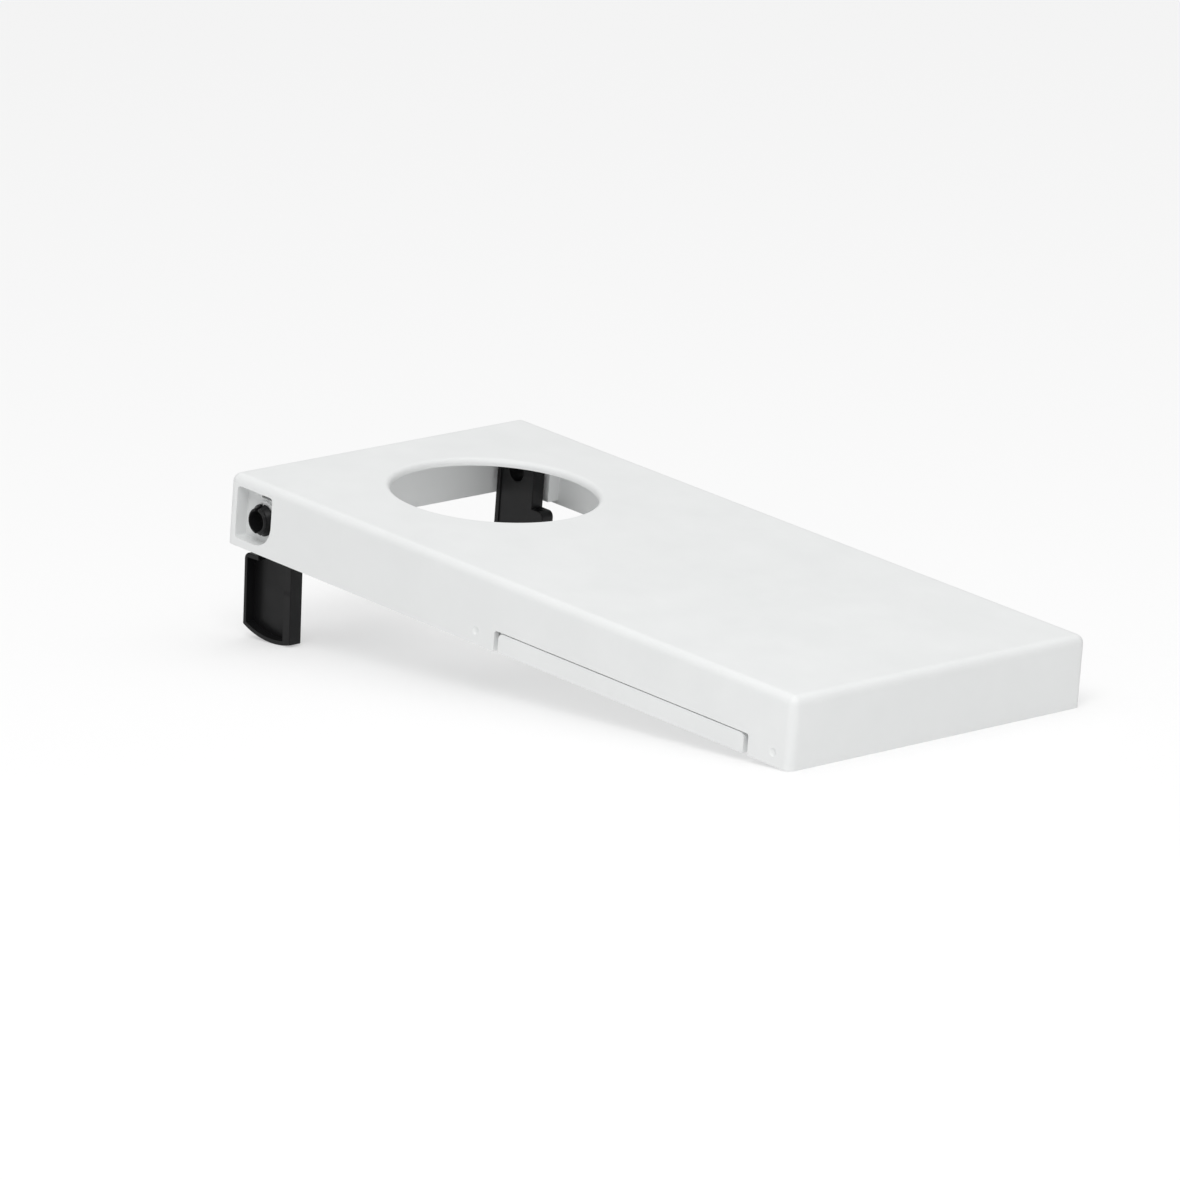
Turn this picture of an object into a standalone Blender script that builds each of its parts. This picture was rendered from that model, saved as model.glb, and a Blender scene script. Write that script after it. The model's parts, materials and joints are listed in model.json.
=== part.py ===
"""Small tabletop cornhole board: a tray-shaped playing deck, two folding legs and a storage door.

The board frame has +X along the deck from its high end to its low end, +Y from the near wall to the
far wall and z = 0 on the playing face. One empty tilts that frame into the standing position.
"""

import math

import bmesh
import bpy
from mathutils import Matrix, Vector

MM = 0.001

# The standing board
TILT = math.radians(7.2)
FOOT_CROWN_RADIUS = 30.0 * MM

# The shell: an open tray, moulded in one piece
LENGTH = 254.0 * MM
WIDTH = 120.6 * MM
HEIGHT = 22.7 * MM
WALL = 2.0 * MM
DECK = 2.2 * MM
OUTER_EDGE_RADIUS = 2.9 * MM
INNER_EDGE_RADIUS = 0.9 * MM
HOLE_RADIUS = 32.3 * MM
HOLE_FROM_HIGH_END = 55.1 * MM
HOLE_EDGE_RADIUS = 1.8 * MM

# The corner pockets, where the legs' studs snap in
PIVOT_FROM_HIGH_END = 13.0 * MM
PIVOT_BELOW_TOP = 12.7 * MM
POCKET_START = 4.1 * MM
POCKET_END = 20.4 * MM
POCKET_TOP = 3.4 * MM
POCKET_BOTTOM = 20.1 * MM
POCKET_DEPTH = 4.5 * MM
POCKET_FLOOR = 1.8 * MM
POCKET_CORNER_RADIUS = 1.2 * MM
POCKET_RING_RADIUS = 6.0 * MM
POCKET_RING_RAISED = 0.75 * MM
POCKET_COLLAR = 1.4 * MM
POCKET_SLOT = (5.0 * MM, 0.9 * MM)
POCKET_SLOT_ABOVE_PIVOT = 6.9 * MM
HOUSING_END = 21.8 * MM
HOUSING_BOTTOM = 21.4 * MM
HOUSING_TOP = 1.5 * MM
OVERLAP = 0.5 * MM

# The legs: one moulding, used twice
GAP = 0.3 * MM
LEG_INSET = POCKET_DEPTH + POCKET_FLOOR + POCKET_COLLAR + GAP
NEAR_LEG_LEAN = math.radians(3.0)
FAR_LEG_LEAN = 0.0
LEG_THICKNESS = 4.8 * MM
LEG_HALF_WIDTH = 8.5 * MM
LEG_EDGE_RADIUS = 0.35 * MM
NEAR_SHOULDER_BELOW_PIVOT = 13.8 * MM
FAR_SHOULDER_BELOW_PIVOT = 10.0 * MM
SHOULDER_WIDTH = 5.2 * MM
SHOULDER_RADIUS = 2.0 * MM
FLANGE = 1.4 * MM
WIDE_FLANGE = 3.2 * MM
WEB_RECESS = 3.4 * MM
SIDE_BAND = 1.8 * MM
INNER_RECESS = 0.4 * MM
STUD_RADIUS = 4.1 * MM
STUD_BARB_RADIUS = 5.05 * MM
STUD_BARB_LAND = 0.5 * MM
STUD_BORE_RADIUS = 3.3 * MM
STUD_FRONT = 0.5 * MM
STUD_FRONT_CHAMFER = 0.4 * MM
STUD_FRONT_LAND = 0.6 * MM
STUD_SLOT = 1.2 * MM
STUD_CLEARANCE = 0.3 * MM

# The storage door and the notch for its pull lip
BULKHEAD_FROM_HIGH_END = 110.4 * MM
BULKHEAD = 1.6 * MM
NOTCH_START = 124.3 * MM
NOTCH_END = 236.1 * MM
NOTCH_HEIGHT = 6.6 * MM
LIP_SIDE_GAP = 1.9 * MM
LIP_ABOVE_RIM = 0.2 * MM
LIP_CORNER_RADIUS = 1.8 * MM
LIP_WALL = 1.7 * MM
DOOR_SIDE_GAP = 0.6 * MM
DOOR_ABOVE_RIM = 0.6 * MM
DOOR_PANEL = 1.8 * MM
DOOR_SKIRT = 1.4 * MM
DOOR_HEIGHT = 6.25 * MM
DOOR_FACE_RECESS = 0.5 * MM
DOOR_FACE_BORDER = 8.0 * MM
DOOR_FACE_RADIUS = 3.0 * MM
HINGE_FROM_FAR_WALL = 3.0 * MM
HINGE_ABOVE_RIM = 3.2 * MM
HINGE_PIN_RADIUS = 1.5 * MM
HINGE_BORE_RADIUS = 1.8 * MM
DOOR_BEYOND_HINGE = 1.2 * MM
BRACKET_FROM_LOW_END = 4.0 * MM
BRACKET = 1.6 * MM
BRACKET_DEPTH = 8.0 * MM
BRACKET_END_GAP = 0.5 * MM
BRACKET_SWING_GAP = 1.0 * MM
SNAP_FROM_NOTCH = (-8.3 * MM, 10.6 * MM)
SNAP_ABOVE_RIM = 4.1 * MM
SNAP_RADIUS = 1.4 * MM
SNAP_RAISED = 0.45 * MM
DIMPLE_DEPTH = 0.6 * MM

# Derived places in the board frame
PIVOT = Vector((PIVOT_FROM_HIGH_END, 0.0, -PIVOT_BELOW_TOP))
PIVOT_HEIGHT = LENGTH * math.sin(TILT) + HEIGHT * math.cos(TILT)
PIVOT_HEIGHT += -PIVOT.x * math.sin(TILT) + PIVOT.z * math.cos(TILT)
HINGE = Vector((0.0, WIDTH / 2 - WALL - HINGE_FROM_FAR_WALL, -HEIGHT + HINGE_ABOVE_RIM))
DOOR_LOW = Vector((
    BULKHEAD_FROM_HIGH_END + BULKHEAD + DOOR_SIDE_GAP,
    -WIDTH / 2 + WALL + DOOR_SIDE_GAP,
    -HEIGHT + DOOR_ABOVE_RIM,
))
DOOR_HIGH = Vector((
    LENGTH - WALL - DOOR_SIDE_GAP,
    HINGE.y + DOOR_BEYOND_HINGE,
    -HEIGHT + DOOR_HEIGHT,
))
REACH = 5.0 * MM


def clear_scene():
    """Remove every object, mesh and collection of the open scene."""
    for obj in list(bpy.data.objects):
        bpy.data.objects.remove(obj, do_unlink=True)
    for collection in list(bpy.data.collections):
        bpy.data.collections.remove(collection)


def make_collection(name):
    """A new collection in the scene."""
    collection = bpy.data.collections.new(name)
    bpy.context.scene.collection.children.link(collection)
    return collection


def plastic(name, color, roughness):
    """A moulded plastic finish."""
    material = bpy.data.materials.new(name)
    material.use_nodes = True
    shader = material.node_tree.nodes["Principled BSDF"]
    shader.inputs["Base Color"].default_value = (*color, 1.0)
    shader.inputs["Roughness"].default_value = roughness
    shader.inputs["Metallic"].default_value = 0.0
    return material


def mesh_object(name, bm, collection, parent=None, pivot=None):
    """An object from a bmesh drawn in board coordinates; its parent's origin stands at pivot."""
    mesh = bpy.data.meshes.new(name)
    bmesh.ops.recalc_face_normals(bm, faces=bm.faces)
    bm.to_mesh(mesh)
    bm.free()
    obj = bpy.data.objects.new(name, mesh)
    collection.objects.link(obj)
    obj.parent = parent
    if pivot is not None:
        obj.location = -pivot
    return obj


def box_mesh(low, high, radius=0.0, rounded=None, segments=5):
    """A box between two corners, with the edges that rounded() picks filleted."""
    low = Vector(low)
    high = Vector(high)
    bm = bmesh.new()
    bmesh.ops.create_cube(bm, size=1.0)
    bmesh.ops.scale(bm, vec=high - low, verts=bm.verts)
    bmesh.ops.translate(bm, vec=(low + high) / 2, verts=bm.verts)
    if radius:
        edges = [edge for edge in bm.edges if rounded(edge, low, high)]
        bmesh.ops.bevel(
            bm, geom=edges, offset=radius, segments=segments, profile=0.5, affect="EDGES"
        )
    return bm


def edge_direction(edge):
    """0, 1 or 2 for an edge along X, Y or Z."""
    run = edge.verts[1].co - edge.verts[0].co
    return max(range(3), key=lambda axis: abs(run[axis]))


def upright_and_top(edge, low, high):
    """The four upright edges and the four round the top."""
    at_top = all(abs(vert.co.z - high.z) < 1e-6 for vert in edge.verts)
    return at_top or edge_direction(edge) == 2


def along_z(edge, low, high):
    """The four upright edges."""
    return edge_direction(edge) == 2


def top_ends(edge, low, high):
    """The two upper edges that run across the board."""
    at_top = all(abs(vert.co.z - high.z) < 1e-6 for vert in edge.verts)
    return at_top and edge_direction(edge) == 1


def cone_mesh(start, end, start_radius, end_radius, segments=32):
    """A capped cylinder or cone between two points."""
    start = Vector(start)
    run = Vector(end) - start
    bm = bmesh.new()
    turn = run.to_track_quat("Z", "Y").to_matrix().to_4x4()
    bmesh.ops.create_cone(
        bm,
        cap_ends=True,
        segments=segments,
        radius1=start_radius,
        radius2=end_radius,
        depth=run.length,
        matrix=Matrix.Translation(start + run / 2) @ turn,
    )
    return bm


def sphere_mesh(centre, radius):
    """A round ball."""
    bm = bmesh.new()
    bmesh.ops.create_uvsphere(
        bm, u_segments=48, v_segments=48, radius=radius, matrix=Matrix.Translation(centre)
    )
    return bm


def arc(centre, radius, first, last, steps):
    """Points on an arc, from one angle in degrees to another."""
    points = []
    for step in range(steps + 1):
        angle = math.radians(first + (last - first) * step / steps)
        points.append((centre[0] + radius * math.cos(angle), centre[1] + radius * math.sin(angle)))
    return points


def turned(name, profile, segments, collection, parent=None, pivot=None):
    """A solid of revolution about its own Z from a profile that runs down its outer side."""
    mesh = bpy.data.meshes.new(name)
    verts = [(radius, 0.0, height) for radius, height in profile]
    edges = [(index, index + 1) for index in range(len(verts) - 1)]
    mesh.from_pydata(verts, edges, [])
    obj = bpy.data.objects.new(name, mesh)
    collection.objects.link(obj)
    obj.parent = parent
    if pivot is not None:
        obj.location = pivot
    screw = obj.modifiers.new("turn", "SCREW")
    screw.steps = segments
    screw.render_steps = segments
    screw.use_merge_vertices = True
    screw.merge_threshold = 0.00001
    return obj


def helper(obj):
    """Hide a shape that only cuts or joins."""
    obj.hide_render = True
    obj.display_type = "WIRE"
    return obj


def combine(target, tool, operation):
    """Cut a helper out of the target, or join it on."""
    modifier = target.modifiers.new(f"{operation.lower()}_{tool.name}", "BOOLEAN")
    modifier.operation = operation
    modifier.solver = "EXACT"
    modifier.object = helper(tool)


def baked(obj):
    """The object's evaluated mesh as plain data."""
    graph = bpy.context.evaluated_depsgraph_get()
    return bpy.data.meshes.new_from_object(obj.evaluated_get(graph))


def plate(name, outline, near, far, edge_radius, collection):
    """A flat plate between two y planes from an outline of (x, z) points."""
    curve = bpy.data.curves.new(name, "CURVE")
    curve.dimensions = "2D"
    curve.fill_mode = "BOTH"
    curve.extrude = (far - near) / 2
    spline = curve.splines.new("POLY")
    spline.points.add(len(outline) - 1)
    for point, (across, up) in zip(spline.points, outline):
        point.co = (across, up, 0.0, 1.0)
    spline.use_cyclic_u = True
    flat = bpy.data.objects.new(name, curve)
    collection.objects.link(flat)
    bm = bmesh.new()
    bm.from_mesh(baked(flat))
    bpy.data.objects.remove(flat)
    bmesh.ops.remove_doubles(bm, verts=bm.verts, dist=0.000001)
    stand = Matrix.Translation((0.0, (near + far) / 2, 0.0)) @ Matrix.Rotation(math.pi / 2, 4, "X")
    bmesh.ops.transform(bm, matrix=stand, verts=bm.verts)
    bmesh.ops.dissolve_limit(bm, angle_limit=0.0005, verts=bm.verts, edges=bm.edges)
    if edge_radius:
        rims = [edge for edge in bm.edges if abs(edge.verts[0].co.y - edge.verts[1].co.y) < 1e-7]
        bmesh.ops.bevel(bm, geom=rims, offset=edge_radius, segments=2, profile=0.5, affect="EDGES")
    return mesh_object(name, bm, collection)


def shell_body(frame, parts, tools):
    """The open tray: deck and four walls with rounded outer edges."""
    shell = mesh_object(
        "deck_shell",
        box_mesh(
            (0.0, -WIDTH / 2, -HEIGHT),
            (LENGTH, WIDTH / 2, 0.0),
            OUTER_EDGE_RADIUS,
            upright_and_top,
            8,
        ),
        parts,
        frame,
    )
    cavity = box_mesh(
        (WALL, -WIDTH / 2 + WALL, -HEIGHT - REACH),
        (LENGTH - WALL, WIDTH / 2 - WALL, -DECK),
        INNER_EDGE_RADIUS,
        upright_and_top,
        3,
    )
    combine(shell, mesh_object("cavity", cavity, tools, frame), "DIFFERENCE")
    return shell


def pocket_outline():
    """The recess seen from outside; its lower corner on the deck's side runs round the stud."""
    small = POCKET_CORNER_RADIUS
    left, right = POCKET_START, POCKET_END
    top, bottom = -POCKET_TOP, -POCKET_BOTTOM
    large = right - PIVOT.x
    return [
        *arc((right - small, top - small), small, 0, 90, 4),
        *arc((left + small, top - small), small, 90, 180, 4),
        *arc((left + small, bottom + small), small, 180, 270, 4),
        *arc((right - large, bottom + large), large, 270, 360, 14),
    ]


def add_pocket(shell, side, frame, tools):
    """The recess at a corner of the high end, with the floor that holds a leg's stud."""
    label = "near" if side < 0 else "far"
    face = side * WIDTH / 2
    floor = face - side * POCKET_DEPTH
    back = floor - side * POCKET_FLOOR
    outside = face + side * REACH
    inside_wall = face - side * (WALL - OVERLAP)
    housing = box_mesh(
        (WALL - OVERLAP, min(back, inside_wall), -HOUSING_BOTTOM),
        (HOUSING_END, max(back, inside_wall), -HOUSING_TOP),
    )
    combine(shell, mesh_object(f"{label}_housing", housing, tools, frame), "UNION")
    near_plane, far_plane = min(floor, outside), max(floor, outside)
    recess = plate(f"{label}_recess", pocket_outline(), near_plane, far_plane, 0.0, tools)
    recess.parent = frame
    combine(shell, recess, "DIFFERENCE")
    middle = floor - side * POCKET_FLOOR / 2
    for name, end in (
        ("ring", floor + side * POCKET_RING_RAISED),
        ("collar", back - side * POCKET_COLLAR),
    ):
        ends = ((PIVOT.x, middle, PIVOT.z), (PIVOT.x, end, PIVOT.z))
        boss = cone_mesh(*ends, POCKET_RING_RADIUS, POCKET_RING_RADIUS, 48)
        combine(shell, mesh_object(f"{label}_{name}", boss, tools, frame), "UNION")
    through = (PIVOT.x, back - side * REACH, PIVOT.z)
    front = (PIVOT.x, outside, PIVOT.z)
    bore_radius = STUD_RADIUS + STUD_CLEARANCE
    bore = cone_mesh(through, front, bore_radius, bore_radius, 48)
    combine(shell, mesh_object(f"{label}_stud_hole", bore, tools, frame), "DIFFERENCE")
    half = Vector((POCKET_SLOT[0] / 2, REACH / 2, POCKET_SLOT[1] / 2))
    centre = Vector((PIVOT.x, middle, PIVOT.z + POCKET_SLOT_ABOVE_PIVOT))
    slot = box_mesh(centre - half, centre + half)
    combine(shell, mesh_object(f"{label}_vent_slot", slot, tools, frame), "DIFFERENCE")


def cut_throwing_hole(shell, frame, tools):
    """The round hole, with the deck's edge rolled over into it."""
    lip = arc(
        (HOLE_RADIUS + HOLE_EDGE_RADIUS, -HOLE_EDGE_RADIUS), HOLE_EDGE_RADIUS, 90, 180, 6
    )
    top = HOLE_RADIUS + HOLE_EDGE_RADIUS
    profile = [(0.0, REACH), (top, REACH), *lip, (HOLE_RADIUS, -DECK - REACH), (0.0, -DECK - REACH)]
    centre = Vector((HOLE_FROM_HIGH_END, 0.0, 0.0))
    combine(shell, turned("throwing_hole", profile, 96, tools, frame, centre), "DIFFERENCE")


def add_bulkhead(shell, frame, tools):
    """The cross wall that closes the storage space, with the bore for a hinge pin."""
    wall = box_mesh(
        (BULKHEAD_FROM_HIGH_END, -WIDTH / 2 + WALL - OVERLAP, -HEIGHT + DOOR_ABOVE_RIM),
        (BULKHEAD_FROM_HIGH_END + BULKHEAD, WIDTH / 2 - WALL + OVERLAP, -DECK + OVERLAP),
    )
    combine(shell, mesh_object("bulkhead", wall, tools, frame), "UNION")
    bracket_low = LENGTH - WALL - BRACKET_FROM_LOW_END
    bracket = box_mesh(
        (bracket_low, WIDTH / 2 - WALL - BRACKET_DEPTH, -HEIGHT + DOOR_ABOVE_RIM),
        (bracket_low + BRACKET, WIDTH / 2 - WALL + OVERLAP, -DECK + OVERLAP),
    )
    combine(shell, mesh_object("hinge_bracket", bracket, tools, frame), "UNION")
    for label, start in (("bulkhead", BULKHEAD_FROM_HIGH_END), ("bracket", bracket_low)):
        first = (start - MM, HINGE.y, HINGE.z)
        last = (start + BRACKET + MM, HINGE.y, HINGE.z)
        bore = cone_mesh(first, last, HINGE_BORE_RADIUS, HINGE_BORE_RADIUS, 24)
        combine(shell, mesh_object(f"{label}_bore", bore, tools, frame), "DIFFERENCE")


def cut_door_notch(shell, frame, tools):
    """The notch for the door's lip, and the two snap bumps with their dimples outside."""
    notch = box_mesh(
        (NOTCH_START, -WIDTH / 2 - REACH, -HEIGHT - REACH),
        (NOTCH_END, -WIDTH / 2 + 2 * WALL, -HEIGHT + NOTCH_HEIGHT),
        LIP_CORNER_RADIUS / 2,
        top_ends,
        3,
    )
    combine(shell, mesh_object("lip_notch", notch, tools, frame), "DIFFERENCE")
    ball = (SNAP_RADIUS**2 + DIMPLE_DEPTH**2) / (2 * DIMPLE_DEPTH)
    places = (NOTCH_START + SNAP_FROM_NOTCH[0], NOTCH_END + SNAP_FROM_NOTCH[1])
    for index, along in enumerate(places):
        up = -HEIGHT + SNAP_ABOVE_RIM
        root = (along, -WIDTH / 2 + WALL - OVERLAP, up)
        tip = (along, -WIDTH / 2 + WALL + SNAP_RAISED, up)
        bump = cone_mesh(root, tip, SNAP_RADIUS, SNAP_RADIUS / 2, 24)
        combine(shell, mesh_object(f"snap_{index}", bump, tools, frame), "UNION")
        centre = (along, -WIDTH / 2 + DIMPLE_DEPTH - ball, up)
        dimple = sphere_mesh(centre, ball)
        combine(shell, mesh_object(f"dimple_{index}", dimple, tools, frame), "DIFFERENCE")


def foot_centre(lean):
    """The crown's centre below the fold axis, which puts the foot of the leaning leg at z = 0."""
    return -(PIVOT_HEIGHT - FOOT_CROWN_RADIUS) / math.cos(TILT - lean)


def leg_outline(lean, shoulder):
    """A leg's outline about its pivot: round head, shoulder on one side, crowned foot."""
    outer = LEG_HALF_WIDTH + SHOULDER_WIDTH
    first = 270 - math.degrees(math.asin(outer / FOOT_CROWN_RADIUS))
    last = 270 + math.degrees(math.asin(LEG_HALF_WIDTH / FOOT_CROWN_RADIUS))
    shoulder_centre = (-outer + SHOULDER_RADIUS, -shoulder - SHOULDER_RADIUS)
    return [
        *arc((0.0, 0.0), LEG_HALF_WIDTH, 0, 180, 24),
        (-LEG_HALF_WIDTH, -shoulder),
        *arc(shoulder_centre, SHOULDER_RADIUS, 90, 180, 6),
        *arc((0.0, foot_centre(lean)), FOOT_CROWN_RADIUS, first, last, 12),
    ]


def outer_recess_outline(lean, shoulder):
    """The hollow on a leg's outer face: the flange opposite the shoulder is the wide one."""
    wide = LEG_HALF_WIDTH - WIDE_FLANGE
    narrow = LEG_HALF_WIDTH - FLANGE
    outer = narrow + SHOULDER_WIDTH
    below_shoulder = -shoulder - FLANGE
    radius = FOOT_CROWN_RADIUS - FLANGE
    first = 270 - math.degrees(math.asin(outer / radius))
    last = 270 + math.degrees(math.asin(wide / radius))
    top = -POCKET_RING_RADIUS - FLANGE
    return [
        (wide, top),
        (-narrow, top),
        (-narrow, below_shoulder),
        (-outer, below_shoulder),
        *arc((0.0, foot_centre(lean)), radius, first, last, 10),
    ]


def inner_recess_outline(lean):
    """The shallow panel on a leg's inner face, between its raised side bands."""
    inner = LEG_HALF_WIDTH - SIDE_BAND
    radius = FOOT_CROWN_RADIUS - SIDE_BAND
    half_angle = math.degrees(math.asin(inner / radius))
    return [
        *arc((0.0, 0.0), inner, 0, 180, 20),
        *arc((0.0, foot_centre(lean)), radius, 270 - half_angle, 270 + half_angle, 8),
    ]


def stud_profile():
    """The snap stud from its front end back into the leg, as (radius, height above the leg)."""
    front = LEG_INSET - STUD_FRONT
    barb_back = LEG_INSET - POCKET_DEPTH + POCKET_RING_RAISED + GAP
    land = front - STUD_FRONT_CHAMFER - STUD_FRONT_LAND
    return [
        (0.0, front),
        (STUD_RADIUS - STUD_FRONT_CHAMFER, front),
        (STUD_RADIUS, front - STUD_FRONT_CHAMFER),
        (STUD_RADIUS, land),
        (STUD_BARB_RADIUS, barb_back + STUD_BARB_LAND),
        (STUD_BARB_RADIUS, barb_back),
        (STUD_RADIUS, barb_back),
        (STUD_RADIUS, -LEG_THICKNESS / 2),
        (0.0, -LEG_THICKNESS / 2),
    ]


def leg_mesh(lean, shoulder, tools):
    """A leg about its pivot, its stud pointing along -Y and its shoulder towards -X."""
    body = plate(
        "leg_plate", leg_outline(lean, shoulder), 0.0, LEG_THICKNESS, LEG_EDGE_RADIUS, tools
    )
    stud = turned("leg_stud", stud_profile(), 48, tools)
    stud.rotation_euler = (math.pi / 2, 0.0, 0.0)
    combine(body, stud, "UNION")
    hollow = outer_recess_outline(lean, shoulder)
    outer = plate("outer_recess", hollow, -MM, WEB_RECESS, 0.0, tools)
    combine(body, outer, "DIFFERENCE")
    inner = plate(
        "inner_recess", inner_recess_outline(lean), LEG_THICKNESS - INNER_RECESS,
        LEG_THICKNESS + MM, 0.0, tools,
    )
    combine(body, inner, "DIFFERENCE")
    reach = LEG_INSET + LEG_THICKNESS
    bore = cone_mesh((0, -reach, 0), (0, reach, 0), STUD_BORE_RADIUS, STUD_BORE_RADIUS, 40)
    combine(body, mesh_object("stud_bore", bore, tools), "DIFFERENCE")
    slot = box_mesh(
        (-STUD_SLOT / 2, -reach, -STUD_BARB_RADIUS - MM),
        (STUD_SLOT / 2, -(LEG_INSET - POCKET_DEPTH), STUD_BARB_RADIUS + MM),
    )
    combine(body, mesh_object("stud_slot", slot, tools), "DIFFERENCE")
    bpy.context.view_layer.update()
    mesh = baked(body)
    bpy.data.objects.remove(body)
    return mesh


def add_leg(name, side, lean, shoulder, frame, parts, tools):
    """One leg, its origin on its fold axis; the far one is turned half round."""
    leg = bpy.data.objects.new(name, leg_mesh(lean, shoulder, tools))
    parts.objects.link(leg)
    leg.parent = frame
    leg.location = PIVOT + Vector((0.0, side * (WIDTH / 2 - LEG_INSET), 0.0))
    leg.rotation_euler = (0.0, side * lean, 0.0 if side < 0 else math.pi)
    return leg


def storage_door(hinge, parts, tools):
    """The lid under the storage space: a panel in a low skirt, a pull lip and two hinge pins."""
    door = mesh_object("storage_door", box_mesh(DOOR_LOW, DOOR_HIGH), parts, hinge, HINGE)
    lip = box_mesh(
        (NOTCH_START + LIP_SIDE_GAP, -WIDTH / 2, -HEIGHT + LIP_ABOVE_RIM),
        (NOTCH_END - LIP_SIDE_GAP, DOOR_LOW.y + DOOR_SKIRT / 2, -HEIGHT + DOOR_HEIGHT),
        LIP_CORNER_RADIUS,
        top_ends,
        4,
    )
    combine(door, mesh_object("lip", lip, tools, hinge, HINGE), "UNION")
    floor = DOOR_LOW.z + DOOR_PANEL
    well = box_mesh(
        (DOOR_LOW.x + DOOR_SKIRT, DOOR_LOW.y + DOOR_SKIRT, floor),
        (DOOR_HIGH.x - DOOR_SKIRT, DOOR_HIGH.y - DOOR_SKIRT, floor + HEIGHT),
        DOOR_SKIRT / 2,
        along_z,
        3,
    )
    combine(door, mesh_object("well", well, tools, hinge, HINGE), "DIFFERENCE")
    behind_lip = box_mesh(
        (NOTCH_START + LIP_SIDE_GAP + LIP_WALL, -WIDTH / 2 + LIP_WALL, floor),
        (NOTCH_END - LIP_SIDE_GAP - LIP_WALL, DOOR_LOW.y + 2 * DOOR_SKIRT, floor + HEIGHT),
    )
    combine(door, mesh_object("behind_lip", behind_lip, tools, hinge, HINGE), "DIFFERENCE")
    cut_hinge_corner(door, floor, hinge, tools)
    cut_panel_face(door, hinge, tools)
    bracket_low = LENGTH - WALL - BRACKET_FROM_LOW_END
    ear = bracket_low - BRACKET_END_GAP
    pins = (
        ("high_pin", DOOR_LOW.x + DOOR_SKIRT / 2, BULKHEAD_FROM_HIGH_END + GAP),
        ("low_pin", ear - DOOR_SKIRT / 2, bracket_low + BRACKET - GAP),
    )
    for label, first, last in pins:
        ends = ((first, HINGE.y, HINGE.z), (last, HINGE.y, HINGE.z))
        pin = cone_mesh(*ends, HINGE_PIN_RADIUS, HINGE_PIN_RADIUS, 24)
        combine(door, mesh_object(label, pin, tools, hinge, HINGE), "UNION")
    return door


def cut_hinge_corner(door, floor, hinge, tools):
    """The corner left open for the shell's hinge bracket, with the skirt turned round it."""
    ear = LENGTH - WALL - BRACKET_FROM_LOW_END - BRACKET_END_GAP
    side = WIDTH / 2 - WALL - BRACKET_DEPTH - BRACKET_SWING_GAP
    wrap = box_mesh(
        (ear - DOOR_SKIRT, side - DOOR_SKIRT, floor - DOOR_PANEL / 2),
        (DOOR_HIGH.x, DOOR_HIGH.y, DOOR_HIGH.z),
    )
    combine(door, mesh_object("corner_wrap", wrap, tools, hinge, HINGE), "UNION")
    corner = box_mesh(
        (ear, side, DOOR_LOW.z - REACH),
        (DOOR_HIGH.x + REACH, DOOR_HIGH.y + REACH, DOOR_HIGH.z + REACH),
    )
    combine(door, mesh_object("corner_cut", corner, tools, hinge, HINGE), "DIFFERENCE")


def cut_panel_face(door, hinge, tools):
    """The shallow field pressed into the panel's outer face."""
    field = box_mesh(
        (DOOR_LOW.x + DOOR_FACE_BORDER, DOOR_LOW.y + DOOR_FACE_BORDER, DOOR_LOW.z - REACH),
        (
            DOOR_HIGH.x - DOOR_FACE_BORDER,
            DOOR_HIGH.y - DOOR_FACE_BORDER,
            DOOR_LOW.z + DOOR_FACE_RECESS,
        ),
        DOOR_FACE_RADIUS,
        along_z,
        4,
    )
    combine(door, mesh_object("face_field", field, tools, hinge, HINGE), "DIFFERENCE")


def shade_and_paint(obj, material):
    """Round stretches shaded smooth, and one material."""
    obj.data.materials.clear()
    obj.data.materials.append(material)
    obj.data.shade_smooth()
    obj.data.set_sharp_from_angle(angle=math.radians(30))


def centre_on_origin(frame, parts):
    """Slide the standing board along X so that the origin is under the middle of its box."""
    bpy.context.view_layer.update()
    graph = bpy.context.evaluated_depsgraph_get()
    reach = []
    for part in [obj for obj in parts.objects if obj.type == "MESH"]:
        solid = part.evaluated_get(graph)
        reach += [(solid.matrix_world @ Vector(corner.co)).x for corner in solid.data.vertices]
    frame.location.x -= (min(reach) + max(reach)) / 2


def build():
    """The whole board, standing on its low edge and its two legs."""
    clear_scene()
    parts = make_collection("cornhole_board")
    tools = make_collection("cutters")
    frame = bpy.data.objects.new("board_frame", None)
    parts.objects.link(frame)
    frame.rotation_euler = (0.0, TILT, 0.0)
    frame.location.z = LENGTH * math.sin(TILT) + HEIGHT * math.cos(TILT)
    hinge = bpy.data.objects.new("door_hinge_axis", None)
    parts.objects.link(hinge)
    hinge.parent = frame
    hinge.location = HINGE

    white = plastic("white_plastic", (0.83, 0.84, 0.84), 0.45)
    black = plastic("black_plastic", (0.02, 0.02, 0.022), 0.4)

    shell = shell_body(frame, parts, tools)
    for side in (-1, 1):
        add_pocket(shell, side, frame, tools)
    cut_throwing_hole(shell, frame, tools)
    add_bulkhead(shell, frame, tools)
    cut_door_notch(shell, frame, tools)
    shade_and_paint(shell, white)

    for name, side, lean, shoulder in (
        ("near_leg", -1, NEAR_LEG_LEAN, NEAR_SHOULDER_BELOW_PIVOT),
        ("far_leg", 1, FAR_LEG_LEAN, FAR_SHOULDER_BELOW_PIVOT),
    ):
        leg = add_leg(name, side, lean, shoulder, frame, parts, tools)
        shade_and_paint(leg, black)

    shade_and_paint(storage_door(hinge, parts, tools), white)
    centre_on_origin(frame, parts)


build()
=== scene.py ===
# %% [markdown]
# # A tabletop cornhole board
# The board is a small injection-moulded set: a white tray that is the playing deck, two black
# legs that snap into its corners, and a white door that closes the storage space underneath.
# This lesson dresses the plain solids of the design. The frame holds their true sizes and places,
# and nothing here moves or resizes a part.

import json
import math

import bmesh
import bpy
from mathutils import Matrix, Vector
from mathutils.bvhtree import BVHTree


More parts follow.
